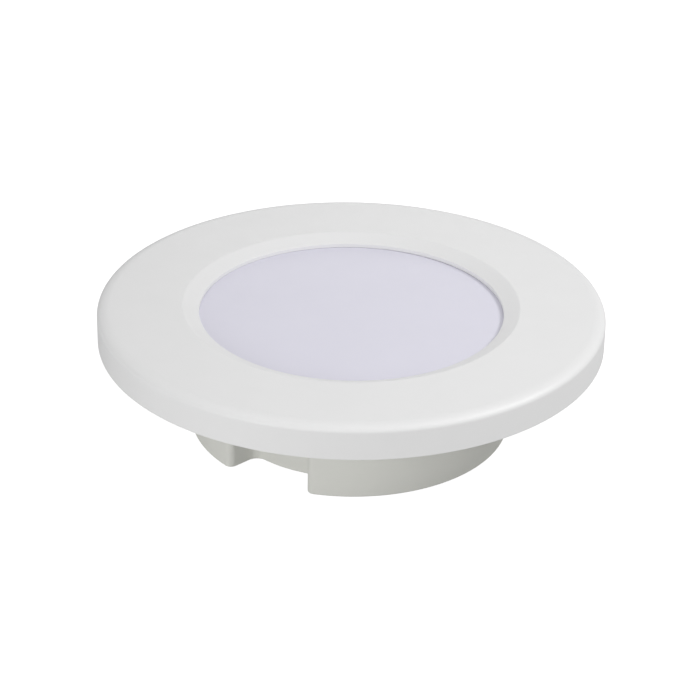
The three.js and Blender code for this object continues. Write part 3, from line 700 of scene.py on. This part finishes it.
def can_row(bm, inset, z, with_bay=True):
    """Vertices round the can: its long arc, then the bay's walls or the arc across its mouth."""
    edge = BAY_HALF_WIDTH + BAY_MOUTH_ANGLE
    long_arc = arc((0, 0), CAN_RADIUS - inset, -edge, edge - 2 * math.pi, OUTER_STEPS)
    if with_bay:
        rest = bay_outline(inset)[1:-1]
    else:
        rest = arc((0, 0), CAN_RADIUS - inset, edge, -edge, BRIDGE_STEPS)[1:-1]
    placed = [Matrix.Rotation(BAY_CENTRE, 2) @ point for point in long_arc + rest]
    return [bm.verts.new((point.x, point.y, z)) for point in placed]


def roof(bm, lower_row, z, inset):
    """Closes the bay at a height, and returns the row of the full circle there."""
    full = can_row(bm, inset, z, with_bay=False)
    shared = OUTER_STEPS + 1
    across = full[shared:]
    for vertex in full[:shared]:
        bm.verts.remove(vertex)
    bm.faces.new([lower_row[shared - 1], *lower_row[shared:], lower_row[0], *reversed(across)])
    return lower_row[:shared] + across


def can_shell():
    bm = bmesh.new()
    foot = CAN_FOOT_ROUNDING
    lower = [can_row(bm, foot + 0.4, 0)]
    for i in range(5):
        angle = math.pi / 2 * i / 4
        lower.append(can_row(bm, foot * (1 - math.sin(angle)), foot * (1 - math.cos(angle))))
    lower.append(can_row(bm, 0, foot + 0.3))
    lower.append(can_row(bm, 0, BAY_ROOF_Z))
    for first, second in zip(lower, lower[1:]):
        bridge(bm, first, second)
    bm.faces.new(lower[0])
    outside = roof(bm, lower[-1], BAY_ROOF_Z, 0)
    inside_low = can_row(bm, WALL, WALL)
    inside_roof = can_row(bm, WALL, BAY_ROOF_Z + WALL)
    bridge(bm, inside_low, inside_roof)
    bm.faces.new(inside_low)
    inside = roof(bm, inside_roof, BAY_ROOF_Z + WALL, WALL)
    outer_top = can_row(bm, 0, CAN_TOP_Z - CAN_TOP_CHAMFER, with_bay=False)
    top_outer = can_row(bm, CAN_TOP_CHAMFER, CAN_TOP_Z, with_bay=False)
    top_inner = can_row(bm, WALL, CAN_TOP_Z, with_bay=False)
    upper = [outside, outer_top, top_outer, top_inner, inside]
    for first, second in zip(upper, upper[1:]):
        bridge(bm, first, second)
    return new_mesh("rear_can_fine", bm)


def along_bay(obj):
    """Lays an object built along +Z along the bay's axis, pointing out of the can."""
    height = node_centre("gland_cap_nut").z
    matrix = Matrix.Translation((0, 0, height * MM)) @ Matrix.Rotation(BAY_CENTRE, 4, "Z")
    return moved(obj, matrix @ Matrix.Rotation(math.pi / 2, 4, "Y"))


def board_screw_holes(z0, z1):
    places = [polar(BOARD_SCREW_CIRCLE, angle) for angle in BOARD_SCREW_ANGLES]
    return [rod("hole", M3_HOLE_RADIUS, z0, z1, x, y) for x, y in places]


def driver_screw_places():
    low, high = node_box("driver_board")
    inset = DRIVER_SCREW_INSET
    return [(x, y) for x in (low.x + inset, high.x - inset) for y in (low.y + inset, high.y - inset)]


def driver_screw_holes(z0, z1):
    return [rod("hole", M3_HOLE_RADIUS, z0, z1, x, y) for x, y in driver_screw_places()]


def rear_can():
    shell = can_shell()
    foot = WALL - 0.5
    wall = CAN_RADIUS - WALL + 1
    added = []
    for angle in BOARD_SCREW_ANGLES:
        x, y = polar(BOARD_SCREW_CIRCLE, angle)
        web = block("web", (BOARD_SCREW_CIRCLE, -1.5, foot), (wall, 1.5, 39), edge=0)
        added += [rod("boss", 4, foot, 41, x, y), turned(web, angle)]
    added += [rod("post", 3.5, foot, 8, x, y) for x, y in driver_screw_places()]
    added.append(along_bay(rod("pad", 10.5, 57.8, 63, segments=ROUND)))
    holes = board_screw_holes(32, 64) + driver_screw_holes(3.5, 9)
    holes.append(along_bay(rod("hole", GLAND_HOLE_RADIUS, 50, 70, segments=ROUND)))
    piece(cut(union(shell, added), holes), "light_body", ["rear_can"], CAN_GREY)


# ---- Mounting flange ----


def claw(angle):
    """Post and overhang that hold a hook of the trim ring, with a stop at the closed end."""
    root = FLANGE_FRONT_Z - 0.5
    top = FLANGE_HIGH.z
    start = angle - CLAW_CLOSED_END
    body = sector("claw", rounded([
        (CLAW_POST_RADIUS, root, 0),
        (CLAW_OUTER_RADIUS, root, 0),
        (CLAW_OUTER_RADIUS, top, 0.5),
        (CLAW_TIP_RADIUS, top, 0.4),
        (CLAW_TIP_RADIUS, CLAW_LOW_Z, 0.4),
        (CLAW_POST_RADIUS, CLAW_LOW_Z, 0.3),
    ], steps=3, hold=0.05), start, angle + CLAW_OPEN_END, 14)
    back, cap = CLAW_POST_RADIUS + 0.5, CLAW_LOW_Z + 0.4
    section = [(CLAW_TIP_RADIUS, root), (back, root), (back, cap), (CLAW_TIP_RADIUS, cap)]
    return [body, sector("stop", section, start, angle - CLAW_STOP_FACE, 4)]


def mounting_flange():
    bore = CAN_RADIUS + GAP
    plate_z = FLANGE_FRONT_Z - WALL
    land = FLANGE_RADIUS - SEAL_LAND_WIDTH
    made = spun_ring("mounting_flange_fine", [
        (bore, RIM_REAR_Z, 0.2),
        (COLLAR_RADIUS, RIM_REAR_Z, 0.4),
        (COLLAR_RADIUS, HUB_REAR_Z, 0.3),
        (HUB_RADIUS, HUB_REAR_Z, 0.4),
        (HUB_RADIUS, plate_z, 0.3),
        (land, plate_z, 0.5),
        (land, RIM_REAR_Z, 0.3),
        (FLANGE_RADIUS, RIM_REAR_Z, 0.5),
        (FLANGE_RADIUS, FLANGE_FRONT_Z, 0.6),
        (SEAT_WALL_OUTER_RADIUS, FLANGE_FRONT_Z, 0.4),
        (SEAT_WALL_OUTER_RADIUS, SEAT_WALL_TOP_Z, 0.4),
        (SEAT_WALL_INNER_RADIUS, SEAT_WALL_TOP_Z, 0.3),
        (SEAT_WALL_INNER_RADIUS, SEAT_Z, 0.3),
        (bore, SEAT_Z, 0.2),
    ], FINE, steps=4, hold=0.1)
    added = []
    for i in range(RIB_COUNT):
        rib = block("rib", (COLLAR_RADIUS - 1, -1, RIM_REAR_Z), (land + 1, 1, plate_z + 0.2), edge=0)
        added.append(turned(rib, math.radians(360 / RIB_COUNT * i)))
    fixings = [polar(FIXING_CIRCLE_RADIUS, math.pi / 2 * i) for i in range(4)]
    added += [rod("boss", FIXING_BOSS_RADIUS, RIM_REAR_Z, plate_z + 0.5, x, y) for x, y in fixings]
    for angle in BAYONET_ANGLES:
        added += claw(angle)
    holes = [rod("hole", FIXING_HOLE_RADIUS, 40, 64, x, y) for x, y in fixings]
    holes += clamp_screw_holes(49.4, 64)
    made = cut(union(made, added), holes)
    piece(made, "light_body", ["mounting_flange"], CAN_GREY)


# ---- Cable gland ----
#
# Built along +Z and then laid along the bay's axis, so z here is the distance from the can's axis.


def chamfered_hex(name, z0, z1, high_chamfer=True):
    """Hexagon whose corners are turned down at the low end, and at the high end if asked."""
    corner = HEX_ACROSS_FLATS / math.sqrt(3)
    flat = HEX_ACROSS_FLATS / 2 - 0.15
    slope = (corner - flat) * 0.5
    profile = [(flat, z0), (corner, z0 + slope)]
    if high_chamfer:
        profile.append((corner, z1 - slope))
    profile.append((flat if high_chamfer else corner, z1))
    made = prism(name, hexagon(HEX_ACROSS_FLATS), z0, z1)
    return combine(made, [lathe("chamfer", profile, ROUND)], "INTERSECT")


def gland_body():
    hexagonal = chamfered_hex("gland_body_fine", 64.8, 68.8)
    barrel = thread("barrel", 6, 0.5, GLAND_PITCH, 50, 65.5, ROUND)
    spigot = thread("spigot", 6.6, 0.5, GLAND_PITCH, 68, 74, ROUND)
    holes = [rod("bore", CABLE_BORE_RADIUS, 40, 90), rod("bore", 5.2, 66, 90)]
    made = along_bay(cut(union(hexagonal, [barrel, spigot]), holes))
    piece(made, "light_body", ["gland_body"], GLAND_GREY)


def gland_locknut():
    bore = rod("bore", GLAND_HOLE_RADIUS, 40, 70, segments=ROUND)
    made = along_bay(cut(chamfered_hex("gland_locknut_fine", 52.5, 57.5), [bore]))
    piece(made, "light_body", ["gland_locknut"], GLAND_GREY)


def gland_cap_nut():
    made = chamfered_hex("gland_cap_nut_fine", 69.1, 76, high_chamfer=False)
    dome = lathe("dome", [(8.3, 75), *arc((5.3, 75.3), 3, 0, math.pi / 2, 10)], ROUND)
    holes = [rod("bore", 6.9, 60, 76, segments=ROUND)]
    holes.append(rod("bore", CABLE_BORE_RADIUS, 60, 90, segments=ROUND))
    made = along_bay(cut(union(made, [dome]), holes))
    piece(made, "light_body", ["gland_cap_nut"], GLAND_GREY)


def gland_rings():
    middle = 63.9
    circle = arc((0, 0), 1, 0, 2 * math.pi, 24)[:-1]
    section = [(7.45 + 0.72 * x, middle + 0.6 * y) for x, y in circle]
    o_ring = along_bay(lathe("gland_o_ring_fine", section, ROUND, ring=True))
    piece(o_ring, "light_body", ["gland_o_ring"], BLACK_RUBBER)
    seal = spun_ring("gland_seal_fine", [
        (3.3, 66.3, 0.3),
        (4.9, 66.3, 0.3),
        (4.9, 75.5, 0.6),
        (3.3, 75.5, 0.3),
    ], ROUND, steps=4, hold=0.1)
    piece(along_bay(seal), "light_body", ["gland_seal"], BLACK_RUBBER)


# ---- Light engine ----


def engine_plate(node, material):
    """Disc with a middle hole for the leads and three screw holes."""
    low, high = node_box(node)
    plate = spun_ring(f"{node}_fine", [
        (6, low.z, 0.1),
        (high.x, low.z, 0.15),
        (high.x, high.z, 0.15),
        (6, high.z, 0.1),
    ], FINE, steps=3, hold=0.05)
    piece(cut(plate, board_screw_holes(30, 60)), "light_body", [node], material)


def reflector_cone():
    low, high = node_box("reflector_cone")
    cone = spun_ring("reflector_cone_fine", [
        (61.5, low.z, 0.2),
        (63.2, low.z, 0.2),
        (76.4, high.z - 0.3, 0),
        (76.4, high.z, 0.1),
        (75.2, high.z, 0.1),
    ], FINE, steps=3, hold=0.03)
    piece(cone, "light_body", ["reflector_cone"], REFLECTOR_WHITE)


def led_housing():
    """White housing of a diode, with a cup for the phosphor."""
    housing = block("led", (-2.5, -2.5, 0), (2.5, 2.5, 1.4), edge=0.15)
    return cut(housing, [lathe("cup", [(1.7, 1.1), (2.1, 1.5)], SMALL_ROUND)])


def phosphor_dome():
    crown = arc((0, -3.2), 5.0, 1.18, 1.5, 6)
    return lathe("phosphor", [(1.66, 1.12), (1.9, 1.32), *crown], SMALL_ROUND)


def leds():
    parts = [("housing", led_housing(), LED_HOUSING), ("phosphor", phosphor_dome(), PHOSPHOR)]
    for i in range(LED_COUNT):
        node = f"led_{i + 1}"
        place = node_foot(node)
        angle = math.atan2(place.y, place.x)
        for name, made, material in parts:
            copy = copy_at(made, f"{node}_{name}", place, angle)
            piece(copy, "light_body", [node], material)
    for _, made, _ in parts:
        bpy.data.objects.remove(made)


def lead_tube(name, points):
    """A round lead along a smooth curve that the points steer."""
    line = bpy.data.curves.new(name, "CURVE")
    line.dimensions = "3D"
    spline = line.splines.new("NURBS")
    spline.points.add(len(points) - 1)
    for target, point in zip(spline.points, points):
        target.co = (*(Vector(point) * MM), 1)
    spline.order_u = 4
    spline.use_endpoint_u = True
    line.resolution_u = 6
    line.bevel_depth = LEAD_RADIUS * MM
    line.bevel_resolution = 4
    line.use_fill_caps = True
    curve = bpy.data.objects.new(name, line)
    bpy.context.scene.collection.objects.link(curve)
    graph = bpy.context.evaluated_depsgraph_get()
    mesh = bpy.data.meshes.new_from_object(curve.evaluated_get(graph))
    bpy.data.objects.remove(curve)
    made = bpy.data.objects.new(name, mesh)
    bpy.context.scene.collection.objects.link(made)
    return made


def supply_lead(node, y, material):
    """A lead up from the driver's connector and across to the board's."""
    points = [(-3, y, 18.5), (-3, y, 26), (-3, y, 34), (-2.9, y, 42), (-2.4, y, 47)]
    points += [(-0.5, y, 49.2), (3, y, 49.2), (6.5, y, 49.2), (9.7, y, 49.2)]
    piece(lead_tube(f"{node}_fine", points), "light_body", [node], material)


def light_engine():
    engine_plate("heat_spreader", ALUMINIUM)
    engine_plate("thermal_pad", THERMAL_PAD)
    engine_plate("led_board", BOARD_WHITE)
    reflector_cone()
    leds()
    supply_lead("supply_lead_1", LEAD_OFFSET, LEAD_RED)
    supply_lead("supply_lead_2", -LEAD_OFFSET, LEAD_BLACK)


# ---- Driver ----


def on_driver(obj, node):
    """Puts an object built on z = 0 where the CAD node stands."""
    return moved(obj, Matrix.Translation(node_foot(node) * MM))


def driver_board():
    low, high = node_box("driver_board")
    board = block("driver_board_fine", low, high, edge=0.12)
    made = cut(board, driver_screw_holes(0, 20))
    piece(made, "light_body", ["driver_board"], BOARD_GREEN)


def capacitor(node, radius, height):
    """Sleeved can with a crimp near its foot and a cross of vent grooves on top."""
    can = spun(f"{node}_fine", [
        (0, 0, 0),
        (radius, 0, 0.5),
        (radius, 1.5, 0.3),
        (radius - 0.4, 2.1, 0.3),
        (radius, 2.7, 0.3),
        (radius, height, 0.6),
        (radius - 1.1, height, 0.1),
        (radius - 1.3, height - 0.25, 0.1),
        (0, height - 0.25, 0),
    ], SMALL_ROUND, steps=4, hold=0.02)
    vents = []
    for angle in (0, math.pi / 2):
        reach = radius * 0.6
        vent = block("vent", (-reach, -0.15, height - 0.5), (reach, 0.15, height + 1), edge=0)
        vents.append(turned(vent, angle))
    made = on_driver(cut(can, vents), node)
    piece(made, "light_body", [node], CAPACITOR_SLEEVE)


def inductor():
    """Drum core with its winding, which shows as fine turns of copper wire."""
    core = spun("inductor_core", [
        (0, 0, 0),
        (8, 0, 0.3),
        (8, 2, 0.3),
        (5.2, 2.4, 0.2),
        (5.2, 8.6, 0.2),
        (8, 9, 0.3),
        (8, 11, 0.4),
        (0, 11, 0),
    ], ROUND, steps=4, hold=0.05)
    winding = thread("inductor_winding", 6.4, 0.2, 0.5, 2.6, 8.4, ROUND)
    for made, material in [(core, FERRITE), (winding, COPPER_WIRE)]:
        piece(on_driver(made, "inductor"), "light_body", ["inductor"], material)


def chip_leg(name, x, side):
    """Bent leg on one side of the chip, drawn as a section and then laid across it."""
    outline = rounded([
        (2.6, 0.6, 0),
        (3.4, 0.6, 0.2),
        (3.7, 0, 0.15),
        (4.4, 0, 0),
        (4.4, 0.25, 0),
        (3.9, 0.25, 0.15),
        (3.5, 0.9, 0.2),
        (2.6, 0.9, 0),
    ], steps=3, hold=0.02)
    leg = prism(name, outline, x - 0.4, x + 0.4)
    moved(leg, Matrix(((0, 0, 1, 0), (side, 0, 0, 0), (0, 1, 0, 0), (0, 0, 0, 1))))
    if side < 0:
        leg.data.flip_normals()
    return leg


def chip():
    node = "controller_chip"
    body = block("controller_chip_fine", (-6, -3, 0.2), (6, 3, 2.4), edge=0.25)
    made = on_driver(cut(body, [rod("dimple", 0.5, 2.2, 3, -4.6, -1.8)]), node)
    piece(made, "light_body", [node], COMPONENT_BLACK)
    for i, x in enumerate([-4.5, -1.5, 1.5, 4.5]):
        for side in (-1, 1):
            leg = on_driver(chip_leg(f"chip_leg_{2 * i + (side > 0)}", x, side), node)
            piece(leg, "light_body", [node], STAINLESS)


def terminal_block():
    made = block("terminal_block_fine", (-6, -5, 0), (6, 5, 10), edge=0.35)
    wells = []
    for x in (-3, 3):
        wells.append(rod("well", 2, 4, 11, x, 0))
        wells.append(block("entry", (x - 1.7, -6, 1.2), (x + 1.7, 1, 4.6), edge=0.2))
    made = on_driver(cut(made, wells), "terminal_block")
    piece(made, "light_body", ["terminal_block"], TERMINAL_GREEN)
    for node in ("terminal_screw_1", "terminal_screw_2"):
        head = spun(f"{node}_fine", [
            (0, 0, 0),
            (1.7, 0, 0.15),
            (1.7, 3, 0.3),
            (0, 3, 0),
        ], SMALL_ROUND, steps=4, hold=0.02)
        slotted = cut(head, [block("slot", (-2, -0.3, 2.4), (2, 0.3, 4), edge=0)])
        piece(on_driver(slotted, node), "light_body", [node], STAINLESS)


def connector(node):
    """Small connector housing with its two contact slots."""
    low, high = node_box(node)
    made = block(f"{node}_fine", low, high, edge=0.3)
    middle = node_centre(node).y
    slots = []
    for y in (middle - LEAD_OFFSET, middle + LEAD_OFFSET):
        start = (low.x + 0.8, y - 1, high.z - 0.5)
        slots.append(block("slot", start, (high.x - 0.8, y + 1, high.z + 1), edge=0))
    piece(cut(made, slots), "light_body", [node], CONNECTOR_WHITE)


def rectifier():
    node = "bridge_rectifier"
    low, high = node_box(node)
    made = block("bridge_rectifier_fine", low, high, edge=0.4)
    start = (low.x + 1, high.y - 0.25, low.z + 2)
    groove = block("groove", start, (high.x - 1, high.y + 1, high.z - 2), edge=0)
    piece(cut(made, [groove]), "light_body", [node], COMPONENT_BLACK)


def transistor():
    body = block("switching_transistor_fine", (-3.3, -3, 0.15), (3.3, 3, 2.3), edge=0.25)
    tab = block("transistor_tab", (-2.6, 2, 0), (2.6, 5.5, 0.9), edge=0.15)
    node = "switching_transistor"
    foot = node_foot(node)
    place = Matrix.Translation(Vector((foot.x, node_box(node)[0].y + 3, foot.z)) * MM)
    piece(moved(body, place), "light_body", [node], COMPONENT_BLACK)
    piece(moved(tab, place), "light_body", [node], STAINLESS)


def driver():
    driver_board()
    capacitor("input_capacitor", 6.25, 20)
    capacitor("output_capacitor", 5, 16)
    inductor()
    chip()
    transistor()
    rectifier()
    terminal_block()
    connector("driver_connector")
    connector("led_board_connector")


# ---- Studio ----

CAMERA_DISTANCE = 1.1679
CAMERA_ELEVATION = math.radians(26.411)
CAMERA_TILT = math.radians(1.156)
CAMERA_PAN = math.radians(0.021)
CAMERA_ROLL = math.radians(0.989)
CAMERA_LENS = 121.94

FLOOR_ALBEDO = 0.5
FLOOR_GLOW = 0.08
FLOOR_SEEN_ALBEDO = 0.3
FLOOR_SEEN_GLOW = 0.95
FLOOR_HALF_SIZE = 4000
FLOOR_Z = -0.2
WORLD_STRENGTH = 0.497
LIGHTS_AIM = (0, 0, 0.04)


def add_camera():
    """Camera in front of the light, looking down on its face."""
    data = bpy.data.cameras.new("camera")
    data.lens = CAMERA_LENS
    camera = bpy.data.objects.new("camera", data)
    bpy.context.scene.collection.objects.link(camera)
    back = Vector((0, -math.cos(CAMERA_ELEVATION), math.sin(CAMERA_ELEVATION)))
    place = Vector((0, 0, TOP_Z * MM)) + back * CAMERA_DISTANCE
    pitch = math.pi / 2 - CAMERA_ELEVATION - CAMERA_TILT
    aim = Matrix.Rotation(CAMERA_PAN, 4, "Z") @ Matrix.Rotation(pitch, 4, "X")
    camera.matrix_world = Matrix.Translation(place) @ aim @ Matrix.Rotation(CAMERA_ROLL, 4, "Z")
    bpy.context.scene.camera = camera


def softbox(name, azimuth, elevation, distance, size, power):
    """Square soft light, aimed at the object, in degrees, metres and watts.

    Azimuth 0 is the right and -90 the camera's side.
    """
    data = bpy.data.lights.new(name, "AREA")
    data.shape = "SQUARE"
    data.size = size
    data.energy = power
    light = bpy.data.objects.new(name, data)
    bpy.context.scene.collection.objects.link(light)
    azimuth, elevation = math.radians(azimuth), math.radians(elevation)
    out = Vector((*polar(math.cos(elevation), azimuth), math.sin(elevation)))
    light.location = Vector(LIGHTS_AIM) + out * distance
    light.rotation_mode = "QUATERNION"
    light.rotation_quaternion = (-out).to_track_quat("-Z", "Y")


def floor_material():
    """Paper that the camera sees as white, with a trace of shadow, and that isn't there from below."""
    material = bpy.data.materials.new("floor_white")
    material.use_nodes = True
    tree = material.node_tree
    tree.nodes.clear()

    def paper(albedo, glow):
        made = tree.nodes.new("ShaderNodeBsdfPrincipled")
        made.inputs["Base Color"].default_value = (albedo, albedo, albedo, 1)
        made.inputs["Roughness"].default_value = 1
        made.inputs["Specular IOR Level"].default_value = 0
        made.inputs["Emission Color"].default_value = (1, 1, 1, 1)
        made.inputs["Emission Strength"].default_value = glow
        return made

    def mixed(factor, first, second):
        made = tree.nodes.new("ShaderNodeMixShader")
        tree.links.new(factor, made.inputs[0])
        tree.links.new(first.outputs[0], made.inputs[1])
        tree.links.new(second.outputs[0], made.inputs[2])
        return made

    seen = tree.nodes.new("ShaderNodeLightPath").outputs["Is Camera Ray"]
    below = tree.nodes.new("ShaderNodeNewGeometry").outputs["Backfacing"]
    looks = paper(FLOOR_SEEN_ALBEDO, FLOOR_SEEN_GLOW)
    white = mixed(seen, paper(FLOOR_ALBEDO, FLOOR_GLOW), looks)
    whole = mixed(below, white, tree.nodes.new("ShaderNodeBsdfTransparent"))
    output = tree.nodes.new("ShaderNodeOutputMaterial")
    tree.links.new(whole.outputs[0], output.inputs["Surface"])
    return material


def floor():
    """Large pale floor that reads as white."""
    half = FLOOR_HALF_SIZE
    bm = bmesh.new()
    corners = [(-half, -half), (half, -half), (half, half), (-half, half)]
    bm.faces.new([bm.verts.new((x, y, FLOOR_Z)) for x, y in corners])
    made = new_mesh("floor", bm)
    if made.data.polygons[0].normal.z < 0:
        made.data.flip_normals()
    made.data.materials.append(floor_material())


def studio():
    world = bpy.data.worlds.new("studio")
    world.use_nodes = True
    background = world.node_tree.nodes["Background"]
    background.inputs["Color"].default_value = (1, 1, 1, 1)
    background.inputs["Strength"].default_value = WORLD_STRENGTH
    bpy.context.scene.world = world
    bpy.context.scene.view_settings.view_transform = "Standard"
    softbox("front_left_low", -130, 8, 1.4, 0.9, 6.5)
    softbox("front_left", -110, 18, 1.4, 0.45, 2.4)
    softbox("right_high", 0, 45, 1.4, 0.45, 7.3)
    softbox("right_near", -30, 50, 0.6, 0.4, 0.4)
    softbox("far_right_low", 60, 12, 1.4, 0.6, 0.5)
    softbox("far", 90, 20, 1.4, 0.45, 0.8)
    floor()
    add_camera()


trim_ring()
lens()
clamp_ring()
lens_gasket()
all_screws()
rear_can()
mounting_flange()
gland_body()
gland_locknut()
gland_cap_nut()
gland_rings()
light_engine()
driver()
studio()
